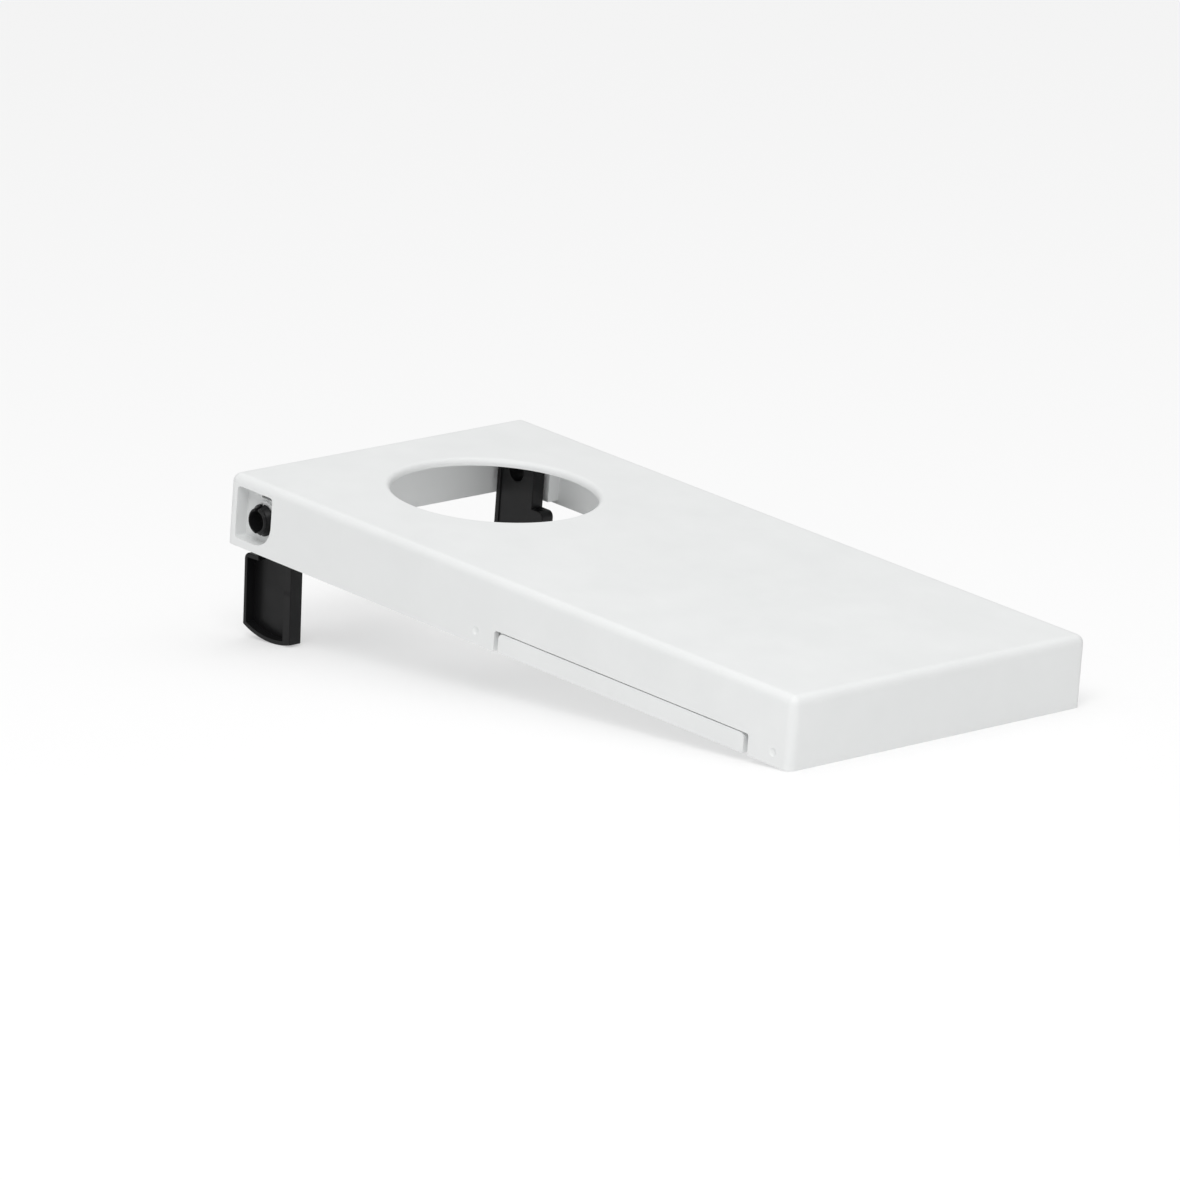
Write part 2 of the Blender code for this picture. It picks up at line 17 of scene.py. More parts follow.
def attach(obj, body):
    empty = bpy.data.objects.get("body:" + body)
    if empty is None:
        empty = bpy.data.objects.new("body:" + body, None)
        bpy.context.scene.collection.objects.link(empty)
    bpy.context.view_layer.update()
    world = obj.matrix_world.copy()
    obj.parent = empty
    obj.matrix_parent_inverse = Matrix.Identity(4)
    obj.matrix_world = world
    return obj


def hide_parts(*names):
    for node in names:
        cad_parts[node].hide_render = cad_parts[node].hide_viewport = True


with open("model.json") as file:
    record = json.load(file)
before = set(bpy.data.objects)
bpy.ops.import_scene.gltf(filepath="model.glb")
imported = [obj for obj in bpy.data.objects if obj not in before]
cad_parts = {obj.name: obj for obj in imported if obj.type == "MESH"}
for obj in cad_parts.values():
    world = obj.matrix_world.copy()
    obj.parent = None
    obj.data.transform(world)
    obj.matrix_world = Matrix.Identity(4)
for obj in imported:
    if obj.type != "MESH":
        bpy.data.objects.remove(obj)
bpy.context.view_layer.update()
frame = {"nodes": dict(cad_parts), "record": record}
MM = 0.001
print("parts:", ", ".join(sorted(frame["nodes"])))

# %% [markdown]
# The deck leans towards its low end. Its outward normal is written in the record, as the axis of
# the face the bags land on. From that normal and the lowest and highest corners of the shell comes
# a matrix that turns board measures (along, across, up from the playing face) into places in the
# room. Each later step can then think in the maker's own terms.

# %% The board's own axes
deck = next(mount for mount in frame["record"]["mounts"] if mount["name"] == "playing_deck")
UP = Vector(deck["axis"]).normalized()
ALONG = Vector((UP.z, 0.0, -UP.x))
ACROSS = Vector((0.0, 1.0, 0.0))
shell_points = [vert.co for vert in frame["nodes"]["deck_shell"].data.vertices]
along_low = min(point.dot(ALONG) for point in shell_points)
along_high = max(point.dot(ALONG) for point in shell_points)
up_low = min(point.dot(UP) for point in shell_points)
up_high = max(point.dot(UP) for point in shell_points)
half_width = max(point.y for point in shell_points)
LENGTH = along_high - along_low
HEIGHT = up_high - up_low
WIDTH = 2 * half_width
origin = ALONG * along_low + UP * up_high
BOARD = Matrix.Translation(origin) @ Matrix((ALONG, ACROSS, UP)).transposed().to_4x4()
print(f"board {LENGTH / MM:.1f} x {WIDTH / MM:.1f} x {HEIGHT / MM:.1f} mm")


def at(along, across, up):
    """A place in the room from millimetres along, across and up from the playing face."""
    return BOARD @ (Vector((along, across, up)) * MM)


# %% [markdown]
# A surface that looks moulded needs three things that a flat colour lacks: a very fine grain from
# the tool's finish, faint cloudiness where the plastic flowed, and slightly varied gloss. More
# than one finish here wants them, so they are one shader node group. It hands out only values, and
# the shader itself stays in the material.

# %% The moulded-plastic node group
CLOUD_SCALE = 45.0
GLOSS_SCALE = 160.0
# Noise runs from 0 to 1 in theory, but nearly all of it lies in this range.
NOISE_LOW = 0.3
NOISE_HIGH = 0.7
# A Mix node has a set of sockets for each kind of data. These are the places of its colour ones.
MIX_COLOUR_A = 6
MIX_COLOUR_B = 7
MIX_COLOUR_RESULT = 2


def add_socket(tree, name, kind, way, value=None):
    """A named socket on a node group."""
    socket = tree.interface.new_socket(name=name, in_out=way, socket_type=kind)
    if value is not None:
        socket.default_value = value


def add_inputs(tree, inputs):
    """The named inputs of a node group, in order."""
    for name, kind, value in inputs:
        add_socket(tree, name, kind, "INPUT", value)


def add_node(tree, kind, at_x, at_y, **settings):
    """A node with its settings made."""
    node = tree.nodes.new(kind)
    node.location = (at_x, at_y)
    for name, value in settings.items():
        setattr(node, name, value)
    return node


def noise_field(tree, coords, scale, detail, roughness, at_y):
    """A noise texture fed with coordinates."""
    field = add_node(tree, "ShaderNodeTexNoise", -500, at_y)
    field.inputs["Detail"].default_value = detail
    field.inputs["Roughness"].default_value = roughness
    tree.links.new(coords, field.inputs["Vector"])
    if isinstance(scale, float):
        field.inputs["Scale"].default_value = scale
    else:
        tree.links.new(scale, field.inputs["Scale"])
    return field


def map_range(tree, value, low, high, at_y):
    """A node that maps the range where noise mostly lies to a stated one."""
    node = add_node(tree, "ShaderNodeMapRange", -250, at_y)
    node.inputs["From Min"].default_value = NOISE_LOW
    node.inputs["From Max"].default_value = NOISE_HIGH
    tree.links.new(value, node.inputs["Value"])
    for source, socket in ((low, "To Min"), (high, "To Max")):
        if isinstance(source, float):
            node.inputs[socket].default_value = source
        else:
            tree.links.new(source, node.inputs[socket])
    return node


def make_moulded_group():
    """Colour, roughness and height of a moulded plastic surface."""
    tree = bpy.data.node_groups.new("moulded_plastic", "ShaderNodeTree")
    inputs = (
        ("Light Colour", "NodeSocketColor", (0.85, 0.85, 0.85, 1.0)),
        ("Dark Colour", "NodeSocketColor", (0.82, 0.82, 0.82, 1.0)),
        ("Grain Scale", "NodeSocketFloat", 1500.0),
        ("Roughness Low", "NodeSocketFloat", 0.4),
        ("Roughness High", "NodeSocketFloat", 0.5),
    )
    add_inputs(tree, inputs)
    add_socket(tree, "Colour", "NodeSocketColor", "OUTPUT")
    add_socket(tree, "Roughness", "NodeSocketFloat", "OUTPUT")
    add_socket(tree, "Height", "NodeSocketFloat", "OUTPUT")
    group_in = add_node(tree, "NodeGroupInput", -900, 0)
    group_out = add_node(tree, "NodeGroupOutput", 300, 0)
    place = add_node(tree, "ShaderNodeTexCoord", -900, 300).outputs["Object"]

    cloud = noise_field(tree, place, CLOUD_SCALE, 3.0, 0.55, 300)
    blend = map_range(tree, cloud.outputs["Fac"], 0.0, 1.0, 300)
    mix = add_node(tree, "ShaderNodeMix", 0, 300, data_type="RGBA")
    tree.links.new(blend.outputs["Result"], mix.inputs["Factor"])
    tree.links.new(group_in.outputs["Dark Colour"], mix.inputs[MIX_COLOUR_A])
    tree.links.new(group_in.outputs["Light Colour"], mix.inputs[MIX_COLOUR_B])
    tree.links.new(mix.outputs[MIX_COLOUR_RESULT], group_out.inputs["Colour"])

    gloss = noise_field(tree, place, GLOSS_SCALE, 2.0, 0.5, 0)
    low, high = group_in.outputs["Roughness Low"], group_in.outputs["Roughness High"]
    shine = map_range(tree, gloss.outputs["Fac"], low, high, 0)
    tree.links.new(shine.outputs["Result"], group_out.inputs["Roughness"])

    grain = noise_field(tree, place, group_in.outputs["Grain Scale"], 2.0, 0.6, -300)
    tree.links.new(grain.outputs["Fac"], group_out.inputs["Height"])
    return tree


MOULDED = make_moulded_group()
print("node group:", MOULDED.name, "with", len(MOULDED.nodes), "nodes")

# %% [markdown]
# A toy that is packed, unfolded and slid about picks up hairline scuffs. They hardly change the
# colour, but they break up the gloss, so that a reflection has some life in it. The trick is a
# noise that is stretched far along one direction and then cut off high, so that only its sharpest
# ridges are left as short thin lines. Both plastics use it, so it is a group of its own.

# %% The hairline-scuff node group
SCUFF_STRETCH = (0.06, 1.0, 1.0)
SCUFF_FULL = 0.80


def make_scuff_group():
    """A mask of short thin lines that run roughly along one direction."""
    tree = bpy.data.node_groups.new("hairline_scuffs", "ShaderNodeTree")
    inputs = (
        ("Scale", "NodeSocketFloat", 300.0),
        ("Turn", "NodeSocketVector", None),
        ("Cut", "NodeSocketFloat", 0.66),
    )
    add_inputs(tree, inputs)
    add_socket(tree, "Mask", "NodeSocketFloat", "OUTPUT")
    group_in = add_node(tree, "NodeGroupInput", -1100, 0)
    group_out = add_node(tree, "NodeGroupOutput", 300, 0)
    place = add_node(tree, "ShaderNodeTexCoord", -1100, 300).outputs["Object"]
    stretch = add_node(tree, "ShaderNodeMapping", -800, 200)
    stretch.inputs["Scale"].default_value = SCUFF_STRETCH
    tree.links.new(place, stretch.inputs["Vector"])
    tree.links.new(group_in.outputs["Turn"], stretch.inputs["Rotation"])
    lines = noise_field(tree, stretch.outputs["Vector"], group_in.outputs["Scale"], 2.0, 0.5, 0)
    ridge = add_node(tree, "ShaderNodeMapRange", -250, 0, interpolation_type="SMOOTHSTEP")
    ridge.inputs["From Max"].default_value = SCUFF_FULL
    tree.links.new(lines.outputs["Fac"], ridge.inputs["Value"])
    tree.links.new(group_in.outputs["Cut"], ridge.inputs["From Min"])
    tree.links.new(ridge.outputs["Result"], group_out.inputs["Mask"])
    return tree


SCUFFS = make_scuff_group()
print("node group:", SCUFFS.name, "with", len(SCUFFS.nodes), "nodes")

# %% [markdown]
# Both finishes use the two groups, each with its own values. The white is a neutral styrene-like
# plastic with a soft satin face; the black is the same kind of plastic, a little glossier, so that
# its edges catch a line of light. The bump is small, because moulded grain is only about a
# hundredth of a millimetre deep.

# %% The two plastics
def plastic(name, light, dark, grain_scale, gloss, bump_mm, specular, scuff_turn, scuff_gain):
    """A Principled material that reads the moulded-plastic and the scuff groups."""
    material = bpy.data.materials.new(name)
    material.use_nodes = True
    tree = material.node_tree
    shader = tree.nodes["Principled BSDF"]
    shader.inputs["Specular IOR Level"].default_value = specular
    group = add_node(tree, "ShaderNodeGroup", -700, 0, node_tree=MOULDED)
    group.inputs["Light Colour"].default_value = (*light, 1.0)
    group.inputs["Dark Colour"].default_value = (*dark, 1.0)
    group.inputs["Grain Scale"].default_value = grain_scale
    group.inputs["Roughness Low"].default_value = gloss[0]
    group.inputs["Roughness High"].default_value = gloss[1]
    scuffs = add_node(tree, "ShaderNodeGroup", -700, -300, node_tree=SCUFFS)
    scuffs.inputs["Turn"].default_value = scuff_turn
    duller = add_node(tree, "ShaderNodeMath", -400, -100, operation="MULTIPLY_ADD")
    duller.inputs[1].default_value = scuff_gain
    bump = add_node(tree, "ShaderNodeBump", -300, -350)
    bump.inputs["Distance"].default_value = bump_mm * MM
    bump.inputs["Strength"].default_value = 1.0
    tree.links.new(group.outputs["Colour"], shader.inputs["Base Color"])
    tree.links.new(scuffs.outputs["Mask"], duller.inputs[0])
    tree.links.new(group.outputs["Roughness"], duller.inputs[2])
    tree.links.new(duller.outputs["Value"], shader.inputs["Roughness"])
    tree.links.new(group.outputs["Height"], bump.inputs["Height"])
    tree.links.new(bump.outputs["Normal"], shader.inputs["Normal"])
    return material


WHITE = plastic(
    "board_white",
    light=(0.80, 0.81, 0.808),
    dark=(0.775, 0.786, 0.784),
    grain_scale=1400.0,
    gloss=(0.42, 0.52),
    bump_mm=0.012,
    specular=0.5,
    scuff_turn=(0.0, 0.12, 0.35),
    scuff_gain=0.10,
)
BLACK = plastic(
    "leg_black",
    light=(0.0105, 0.0105, 0.011),
    dark=(0.007, 0.007, 0.0075),
    grain_scale=1800.0,
    gloss=(0.30, 0.40),
    bump_mm=0.008,
    specular=0.18,
    scuff_turn=(0.0, 1.1, 0.0),
    scuff_gain=0.18,
)
print("finishes:", WHITE.name, BLACK.name)

# %% [markdown]
# The design's solids have knife-sharp edges, but no tool leaves one: each edge has a small radius
# that catches the light. So each part gets a skin. It starts as a merged copy of the solid, the
# bridging edges across flat faces are dissolved, and the edges that are still sharp get a narrow
# bevel. The skin keeps every true size, because a bevel rounds the edges and leaves the faces
# between them where they are. Smooth shading would tilt the normals at the rim of a large flat
# wall, which shows as a long grey wedge, so the normals are weighted by face area and the wall
# stays evenly lit.

# %% A moulded skin over a plain solid
WELD = 0.005 * MM
SHORTEST_EDGE = WELD / 5
FLAT = math.radians(0.6)
SHARP = math.radians(28)
STILL_SHARP = math.radians(40)
EDGE_SEGMENTS = 2
AREA_WEIGHT = 100


def plain_mesh(obj):
    """Turn an object with modifiers into plain mesh data."""
    graph = bpy.context.evaluated_depsgraph_get()
    mesh = bpy.data.meshes.new_from_object(obj.evaluated_get(graph))
    obj.modifiers.clear()
    obj.data = mesh
    return mesh


def skin_of(node, name, material, edge_mm):
    """A piece with rounded edges that stands for a solid of the design."""
    source = frame["nodes"][node]
    bm = bmesh.new()
    bm.from_mesh(source.data)
    bmesh.ops.remove_doubles(bm, verts=bm.verts, dist=WELD)
    bmesh.ops.dissolve_degenerate(bm, edges=bm.edges, dist=SHORTEST_EDGE)
    bmesh.ops.dissolve_limit(bm, angle_limit=FLAT, verts=bm.verts, edges=bm.edges)
    mesh = bpy.data.meshes.new(name)
    bm.to_mesh(mesh)
    bm.free()
    piece = bpy.data.objects.new(name, mesh)
    bpy.context.scene.collection.objects.link(piece)
    mesh.materials.append(material)
    bevel = piece.modifiers.new("moulded_edge", "BEVEL")
    bevel.width = edge_mm * MM
    bevel.segments = EDGE_SEGMENTS
    bevel.limit_method = "ANGLE"
    bevel.angle_limit = SHARP
    bevel.use_clamp_overlap = True
    mesh.shade_smooth()
    plain_mesh(piece)
    piece.data.set_sharp_from_angle(angle=STILL_SHARP)
    level = piece.modifiers.new("level_normals", "WEIGHTED_NORMAL")
    level.mode = "FACE_AREA"
    level.weight = AREA_WEIGHT
    level.keep_sharp = True
    plain_mesh(piece)
    print(name, len(piece.data.polygons), "faces")
    return piece


# %% [markdown]
# There are four mouldings: the deck with its walls, two legs and the door. Each skin rides on the
# body of the solid that it stands for, so a leg's skin folds with the leg. The big white parts get
# the widest radius, and the small black ones a finer one, as their tools would have.

# %% The four mouldings
BODY_OF = {
    node: body for body, nodes in frame["record"]["behaviour"]["bodies"].items() for node in nodes
}
# Each row: the design's node, the skin's name, its finish and its edge's width in millimetres.
SKINS = (
    ("deck_shell", "deck_shell_moulding", WHITE, 0.22),
    ("storage_door", "storage_door_moulding", WHITE, 0.18),
    ("near_leg", "near_leg_moulding", BLACK, 0.15),
    ("far_leg", "far_leg_moulding", BLACK, 0.15),
)
for node, name, material, edge_mm in SKINS:
    piece = skin_of(node, name, material, edge_mm)
    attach(piece, BODY_OF[node])
    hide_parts(node)

# %% [markdown]
# The next pieces sit on faces that no named size describes, such as the underside of the deck. A
# ray finds such a face: it starts in the free space next to it and runs towards it until it meets
# the solid. The answer comes back in the board's own millimetres.

# %% Where a face lies
def solid_tree(node):
    """A search tree of a solid of the design."""
    mesh = frame["nodes"][node].data
    points = [vert.co for vert in mesh.vertices]
    return BVHTree.FromPolygons(points, [tuple(face.vertices) for face in mesh.polygons])


SOLIDS = {node: solid_tree(node) for node in BODY_OF}
BOARD_INVERSE = BOARD.inverted()


def meet(node, start, direction):
    """The first point of a solid on a ray, in board millimetres."""
    turned = BOARD.to_3x3() @ Vector(direction)
    hit = SOLIDS[node].ray_cast(at(*start), turned)[0]
    if hit is None:
        raise ValueError(f"the ray from {start} misses {node}")
    return (BOARD_INVERSE @ hit) / MM


# Places along the board with free space round them, one in the hole's bay and three in the
# storage bay, and a level between the deck and the door.
IN_HOLE_BAY = 100
IN_STORAGE_BAY = 150
OVER_DOOR = 180
NEAR_LOW_WALL = 200
FREE_LEVEL = -12
bulkhead = meet("deck_shell", (IN_HOLE_BAY, 0, FREE_LEVEL), (1, 0, 0)).x
underside = meet("deck_shell", (IN_STORAGE_BAY, 0, FREE_LEVEL), (0, 0, 1)).z
door_floor = meet("storage_door", (OVER_DOOR, 0, FREE_LEVEL), (0, 0, -1)).z
low_wall = meet("deck_shell", (NEAR_LOW_WALL, 0, FREE_LEVEL), (1, 0, 0)).x
print(f"bulkhead {bulkhead:.1f}, deck underside {underside:.1f}, door floor {door_floor:.1f} mm")

# %% [markdown]
# Large flat mouldings warp unless ribs stiffen them. The same low rib repeats at an even spacing,
# so this is a job for Geometry Nodes: a box is narrowed towards its tip, as a rib must be to leave
# the tool, and one copy is set on each point of a line. All its sizes are inputs of the tree, so
# one tree serves the deck's underside and the inside of the door.

# %% A tree that makes ribs
def math_node(tree, operation, first, second, at_x, at_y):
    """A math node fed with sockets or numbers."""
    node = add_node(tree, "ShaderNodeMath", at_x, at_y, operation=operation)
    for index, value in enumerate((first, second)):
        if isinstance(value, (int, float)):
            node.inputs[index].default_value = value
        else:
            tree.links.new(value, node.inputs[index])
    return node.outputs["Value"]


def finish_tree(tree, copies, group_in):
    """Realize the copies, give them the material and send them out."""
    real = add_node(tree, "GeometryNodeRealizeInstances", 700, 0)
    paint = add_node(tree, "GeometryNodeSetMaterial", 900, 0)
    group_out = add_node(tree, "NodeGroupOutput", 1100, 0)
    tree.links.new(copies, real.inputs["Geometry"])
    tree.links.new(real.outputs["Geometry"], paint.inputs["Geometry"])
    tree.links.new(group_in.outputs["Material"], paint.inputs["Material"])
    tree.links.new(paint.outputs["Geometry"], group_out.inputs["Geometry"])


def make_rib_tree():
    """Tapered ribs across Y, at an even pitch along X, that stand on z = 0."""
    tree = bpy.data.node_groups.new("moulded_ribs", "GeometryNodeTree")
    inputs = (
        ("Span", "NodeSocketFloat", 0.1),
        ("Count", "NodeSocketInt", 4),
        ("Pitch", "NodeSocketFloat", 0.03),
        ("Root Width", "NodeSocketFloat", 0.0012),
        ("Height", "NodeSocketFloat", 0.001),
        ("Tip Share", "NodeSocketFloat", 0.7),
        ("Material", "NodeSocketMaterial", None),
    )
    add_inputs(tree, inputs)
    add_socket(tree, "Geometry", "NodeSocketGeometry", "OUTPUT")
    group_in = add_node(tree, "NodeGroupInput", -900, 0)
    size = add_node(tree, "ShaderNodeCombineXYZ", -700, 200)
    tree.links.new(group_in.outputs["Root Width"], size.inputs["X"])
    tree.links.new(group_in.outputs["Span"], size.inputs["Y"])
    tree.links.new(group_in.outputs["Height"], size.inputs["Z"])
    box = add_node(tree, "GeometryNodeMeshCube", -500, 200)
    tree.links.new(size.outputs["Vector"], box.inputs["Size"])

    place = add_node(tree, "GeometryNodeInputPosition", -700, -200)
    split = add_node(tree, "ShaderNodeSeparateXYZ", -500, -200)
    tree.links.new(place.outputs["Position"], split.inputs["Vector"])
    half = math_node(tree, "MULTIPLY", group_in.outputs["Height"], 0.5, -500, -400)
    risen = math_node(tree, "ADD", split.outputs["Z"], half, -300, -300)
    share = math_node(tree, "DIVIDE", risen, group_in.outputs["Height"], -100, -300)
    narrow = add_node(tree, "ShaderNodeMapRange", 50, -300)
    narrow.inputs["To Min"].default_value = 1.0
    tree.links.new(share, narrow.inputs["Value"])
    tree.links.new(group_in.outputs["Tip Share"], narrow.inputs["To Max"])
    sideways = math_node(tree, "MULTIPLY", split.outputs["X"], narrow.outputs["Result"], 200, -200)
    moved = add_node(tree, "ShaderNodeCombineXYZ", 350, -200)
    tree.links.new(sideways, moved.inputs["X"])
    tree.links.new(split.outputs["Y"], moved.inputs["Y"])
    tree.links.new(risen, moved.inputs["Z"])
    taper = add_node(tree, "GeometryNodeSetPosition", 350, 100)
    tree.links.new(box.outputs["Mesh"], taper.inputs["Geometry"])
    tree.links.new(moved.outputs["Vector"], taper.inputs["Position"])

    step = add_node(tree, "ShaderNodeCombineXYZ", -500, 500)
    tree.links.new(group_in.outputs["Pitch"], step.inputs["X"])
    line = add_node(tree, "GeometryNodeMeshLine", -300, 500)
    tree.links.new(group_in.outputs["Count"], line.inputs["Count"])
    tree.links.new(step.outputs["Vector"], line.inputs["Offset"])
    copies = add_node(tree, "GeometryNodeInstanceOnPoints", 500, 200)
    tree.links.new(line.outputs["Mesh"], copies.inputs["Points"])
    tree.links.new(taper.outputs["Geometry"], copies.inputs["Instance"])
    finish_tree(tree, copies.outputs["Instances"], group_in)
    return tree


RIBS = make_rib_tree()
print("tree:", RIBS.name, "with", len(RIBS.nodes), "nodes")

# %% [markdown]
# When the tool opens, round pins push the part out, and each leaves a flat coin-like mark on the
# hidden side. They come in rows, so this is the second tree: a grid gives the places, and a low
# pad, which is a cone cut off just above its foot, is copied to each.

# %% A tree that makes ejector-pin marks
PAD_SIDES = 28


def make_mark_tree():
    """Low round pads on a grid over X and Y, that stand on z = 0."""
    tree = bpy.data.node_groups.new("ejector_marks", "GeometryNodeTree")
    inputs = (
        ("Columns", "NodeSocketInt", 2),
        ("Rows", "NodeSocketInt", 2),
        ("Reach Along", "NodeSocketFloat", 0.05),
        ("Reach Across", "NodeSocketFloat", 0.05),
        ("Radius", "NodeSocketFloat", 0.0025),
        ("Height", "NodeSocketFloat", 0.00015),
        ("Material", "NodeSocketMaterial", None),
    )
    add_inputs(tree, inputs)
    add_socket(tree, "Geometry", "NodeSocketGeometry", "OUTPUT")
    group_in = add_node(tree, "NodeGroupInput", -900, 0)
    grid = add_node(tree, "GeometryNodeMeshGrid", -500, 300)
    for source, target in (
        ("Reach Along", "Size X"),
        ("Reach Across", "Size Y"),
        ("Columns", "Vertices X"),
        ("Rows", "Vertices Y"),
    ):
        tree.links.new(group_in.outputs[source], grid.inputs[target])
    radius, height = group_in.outputs["Radius"], group_in.outputs["Height"]
    top = math_node(tree, "SUBTRACT", radius, height, -500, -100)
    pad = add_node(tree, "GeometryNodeMeshCone", -250, -100)
    pad.inputs["Vertices"].default_value = PAD_SIDES
    tree.links.new(top, pad.inputs["Radius Top"])
    tree.links.new(radius, pad.inputs["Radius Bottom"])
    tree.links.new(height, pad.inputs["Depth"])
    copies = add_node(tree, "GeometryNodeInstanceOnPoints", 400, 200)
    tree.links.new(grid.outputs["Mesh"], copies.inputs["Points"])
    tree.links.new(pad.outputs["Mesh"], copies.inputs["Instance"])
    finish_tree(tree, copies.outputs["Instances"], group_in)
    return tree


MARKS = make_mark_tree()
print("tree:", MARKS.name, "with", len(MARKS.nodes), "nodes")

# %% [markdown]
# A tree only becomes a piece through an object with a Nodes modifier. The helper sets the inputs
# by their identifiers, evaluates the object once, keeps the plain mesh, and carries it to its
# place, so that the finished object itself stays at the origin, unturned.

# %% From a tree to a piece
def grown(name, tree, sizes, place, body):
    """A plain piece made by a tree, carried to its place, that rides on a body."""
    piece = bpy.data.objects.new(name, bpy.data.meshes.new(name))
    bpy.context.scene.collection.objects.link(piece)
    modifier = piece.modifiers.new("grow", "NODES")
    modifier.node_group = tree
    identifiers = {
        item.name: item.identifier
        for item in tree.interface.items_tree
        if item.item_type == "SOCKET" and item.in_out == "INPUT"
    }
    for label, value in sizes.items():
        modifier[identifiers[label]] = value
    mesh = plain_mesh(piece)
    mesh.transform(place)
    mesh.name = name
    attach(piece, body)
    print(name, len(mesh.polygons), "faces")


def standing_on(along, across, up, flip):
    """A matrix whose z = 0 lies on a face, pointing up from the playing side or, flipped, down."""
    turn = Matrix.Rotation(math.pi, 4, "X") if flip else Matrix.Identity(4)
    return BOARD @ Matrix.Translation(Vector((along, across, up)) * MM) @ turn


# %% [markdown]
# The storage bay gets ribs under the deck and inside the door. They keep clear of the walls, the
# hinge and the door's skirt, and they are lower than anything that has to pass them.

# %% Ribs of the storage bay
ROOT_SINK = 0.05
RIB_COUNT = 5
DOOR_RIB_SHIFT = -2.0
bay = low_wall - bulkhead
rib_pitch = bay / (RIB_COUNT + 1)
DECK_RIBS = {
    "Span": 100 * MM,
    "Count": RIB_COUNT,
    "Pitch": rib_pitch * MM,
    "Root Width": 1.2 * MM,
    "Height": 1.0 * MM,
    "Tip Share": 0.7,
    "Material": WHITE,
}
grown(
    "deck_underside_ribs",
    RIBS,
    DECK_RIBS,
    standing_on(bulkhead + rib_pitch, 0, underside + ROOT_SINK, True),
    "shell",
)
DOOR_RIBS = {**DECK_RIBS, "Span": 92 * MM, "Height": 0.8 * MM, "Root Width": 1.0 * MM}
grown(
    "door_inner_ribs",
    RIBS,
    DOOR_RIBS,
    standing_on(bulkhead + rib_pitch, DOOR_RIB_SHIFT, door_floor - ROOT_SINK, False),
    "door_body",
)

# %% [markdown]
# The pins pushed where the part holds the tool most: round the throwing hole, between the ribs of
# the deck, and on the door.

# %% Ejector-pin marks
PIN = {"Radius": 2.5 * MM, "Height": 0.25 * MM, "Material": WHITE}
HOLE_MIDDLE = 56.0
bay_middle = bulkhead + bay / 2
bay_reach = 3 * rib_pitch
# Each row: name, node, columns, rows, their reach along and across, the middle's place along,
# across and up, all in millimetres, and whether the marks hang from a face.
MARK_ROWS = (
    ("hole_bay_pin_marks", "deck_shell", 2, 4, 82.0, 76.0, HOLE_MIDDLE, 0.0, underside, True),
    ("deck_bay_pin_marks", "deck_shell", 4, 4, bay_reach, 84.0, bay_middle, 0.0, underside, True),
    ("door_pin_marks", "storage_door", 4, 3, bay_reach, 70.0, bay_middle, -2.0, door_floor, False),
)
for name, node, columns, rows, reach_along, reach_across, along, across, up, flip in MARK_ROWS:
    sizes = {
        **PIN,
        "Columns": columns,
        "Rows": rows,
        "Reach Along": reach_along * MM,
        "Reach Across": reach_across * MM,
    }
    sink = ROOT_SINK if flip else -ROOT_SINK
    centre = standing_on(along, across, up + sink, flip)
    grown(name, MARKS, sizes, centre, BODY_OF[node])

# %% [markdown]
# The stage is a plain pale sheet, like the milky top of a light table. It lies at the height that
# the board stands on. A little light comes out of it, so that what stands on it is also lit from
# below and throws only a faint shadow.

# %% The floor
FLOOR_TONE = (0.52, 0.52, 0.52)
FLOOR_GLOW = 0.43
FLOOR_HALF_SIZE = 6.0
FLOOR_CELLS = 8
FLOOR_ROUGHNESS = 0.9
FLOOR_SPECULAR = 0.1
PURE_WHITE = (1.0, 1.0, 1.0, 1.0)


def make_floor():
    """A wide pale sheet under the board."""
    bm = bmesh.new()
    bmesh.ops.create_grid(
        bm, x_segments=FLOOR_CELLS, y_segments=FLOOR_CELLS, size=FLOOR_HALF_SIZE
    )
    mesh = bpy.data.meshes.new("floor")
    bm.to_mesh(mesh)
    bm.free()
    sheet = bpy.data.objects.new("floor", mesh)
    bpy.context.scene.collection.objects.link(sheet)
    material = bpy.data.materials.new("floor_paper")
    material.use_nodes = True
    shader = material.node_tree.nodes["Principled BSDF"]
    shader.inputs["Base Color"].default_value = (*FLOOR_TONE, 1.0)
    shader.inputs["Roughness"].default_value = FLOOR_ROUGHNESS
    shader.inputs["Specular IOR Level"].default_value = FLOOR_SPECULAR
    shader.inputs["Emission Color"].default_value = PURE_WHITE
    shader.inputs["Emission Strength"].default_value = FLOOR_GLOW
    mesh.materials.append(material)
    return sheet


make_floor()

# %% [markdown]
# The light is a studio's. A broad soft box stands above and beside the viewer. Its light meets the
# deck and both visible walls at a slant, and the rounded edges between them head on, so each edge
# gets a bright line. A small card near the low corner lifts the two walls that meet there. The
# rest is an even sky that fades towards the horizon, as under a large ceiling panel, and that
# keeps the walls a little darker than the deck.

# %% Lights
KEY_PLACE = (1.0, -1.15, 1.65)
KEY_AIM = (0.0, 0.0, 0.0)
KEY_SIZE = 1.0
KEY_POWER = 16.0
CARD_PLACE = (0.36, -0.38, 0.10)
CARD_AIM = (0.09, -0.06, 0.01)
CARD_SIZE = 0.25
CARD_POWER = 0.14
SKY_AT_HORIZON = 0.10
SKY_AT_TOP = 1.20


def area_light(name, place, target, size, power):
    """A soft square light that faces a point."""
    data = bpy.data.lights.new(name, "AREA")
    data.size = size
    data.energy = power
    light = bpy.data.objects.new(name, data)
    bpy.context.scene.collection.objects.link(light)
    light.location = place
    light.rotation_euler = (Vector(target) - Vector(place)).to_track_quat("-Z", "Y").to_euler()
    return light


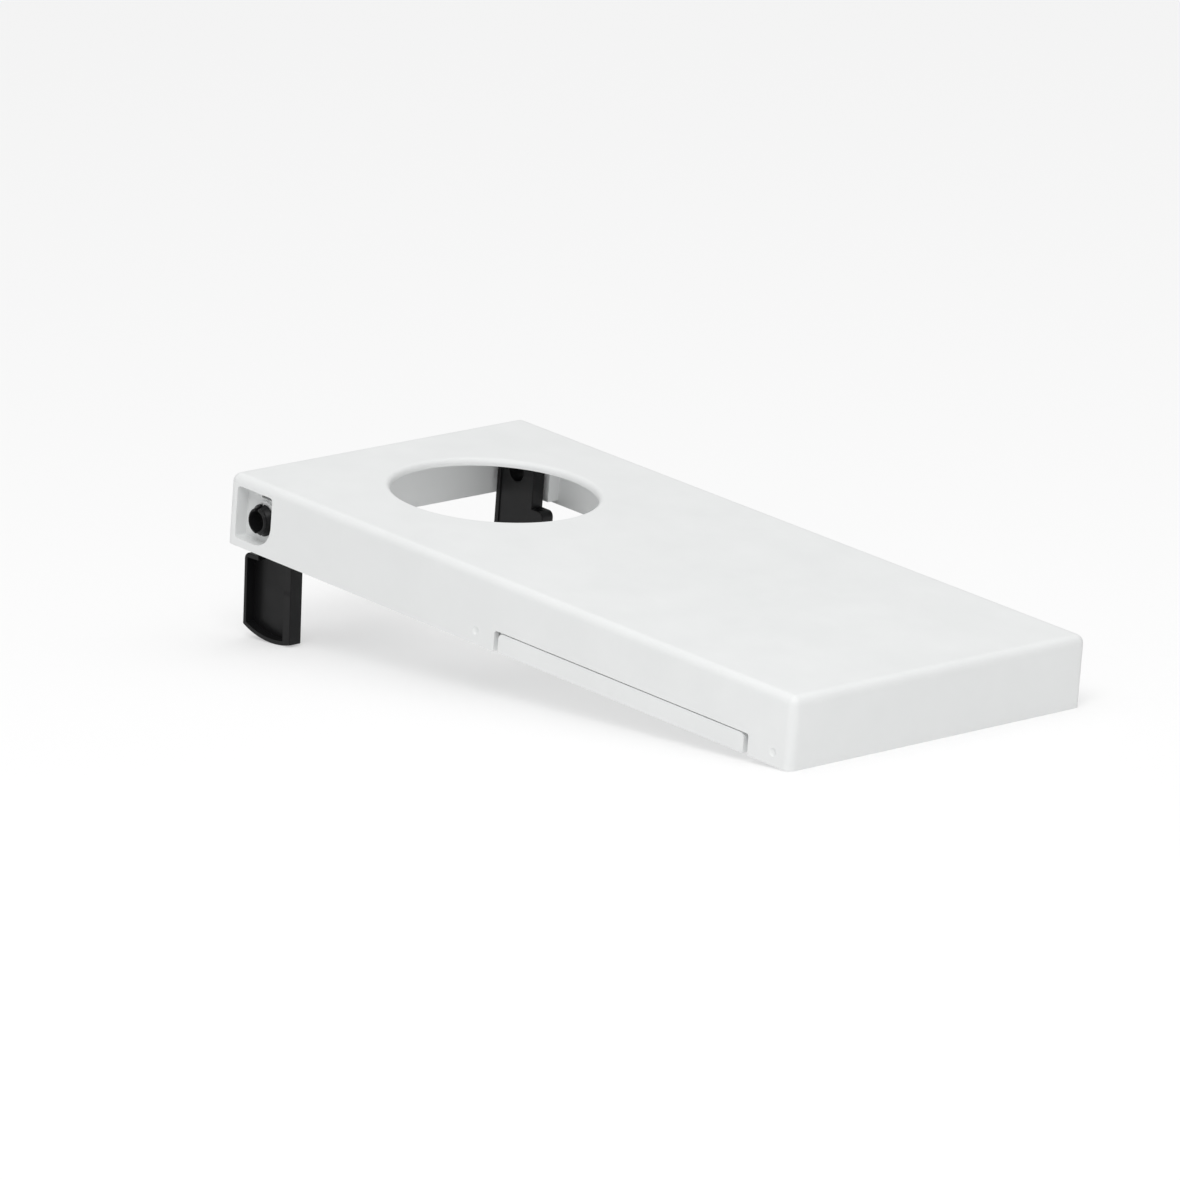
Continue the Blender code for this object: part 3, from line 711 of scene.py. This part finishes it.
def sky(at_horizon, at_top):
    """A neutral world that brightens from the horizon to the top."""
    world = bpy.data.worlds.new("studio")
    world.use_nodes = True
    tree = world.node_tree
    background = tree.nodes["Background"]
    background.inputs["Color"].default_value = PURE_WHITE
    direction = add_node(tree, "ShaderNodeTexCoord", -800, 0)
    split = add_node(tree, "ShaderNodeSeparateXYZ", -600, 0)
    fade = add_node(tree, "ShaderNodeMapRange", -400, 0)
    fade.inputs["To Min"].default_value = at_horizon
    fade.inputs["To Max"].default_value = at_top
    tree.links.new(direction.outputs["Generated"], split.inputs["Vector"])
    tree.links.new(split.outputs["Z"], fade.inputs["Value"])
    tree.links.new(fade.outputs["Result"], background.inputs["Strength"])
    bpy.context.scene.world = world


area_light("soft_box", KEY_PLACE, KEY_AIM, KEY_SIZE, KEY_POWER)
card = area_light("low_corner_card", CARD_PLACE, CARD_AIM, CARD_SIZE, CARD_POWER)
card.visible_camera = False
sky(SKY_AT_HORIZON, SKY_AT_TOP)
bpy.context.scene.view_settings.view_transform = "Standard"

# %% [markdown]
# The board is seen from its low near corner, a little above the table, through a long lens that
# keeps its edges nearly parallel.

# %% Camera
CAMERA_AZIMUTH = 47.77
CAMERA_ELEVATION = 12.13
CAMERA_ROLL = 0.74
CAMERA_DISTANCE = 3.037
CAMERA_AIM = Vector((-0.0126, -0.0118, 0.0261))
CAMERA_LENS = 305.1
SENSOR_WIDTH = 36.0
FARTHEST_VIEW = 50.0


def make_camera():
    """The scene's camera, placed by its angles about the point it looks at."""
    turn = math.radians(CAMERA_AZIMUTH)
    rise = math.radians(CAMERA_ELEVATION)
    level = math.cos(rise)
    back = Vector((math.sin(turn) * level, -math.cos(turn) * level, math.sin(rise)))
    data = bpy.data.cameras.new("camera")
    data.lens = CAMERA_LENS
    data.sensor_width = SENSOR_WIDTH
    data.clip_end = FARTHEST_VIEW
    camera = bpy.data.objects.new("camera", data)
    bpy.context.scene.collection.objects.link(camera)
    look = (-back).to_track_quat("-Z", "Y").to_matrix().to_4x4()
    roll = Matrix.Rotation(math.radians(-CAMERA_ROLL), 4, "Z")
    camera.matrix_world = Matrix.Translation(CAMERA_AIM + back * CAMERA_DISTANCE) @ look @ roll
    bpy.context.scene.camera = camera
    return camera


camera = make_camera()
print("camera at", [round(value, 3) for value in camera.matrix_world.translation])
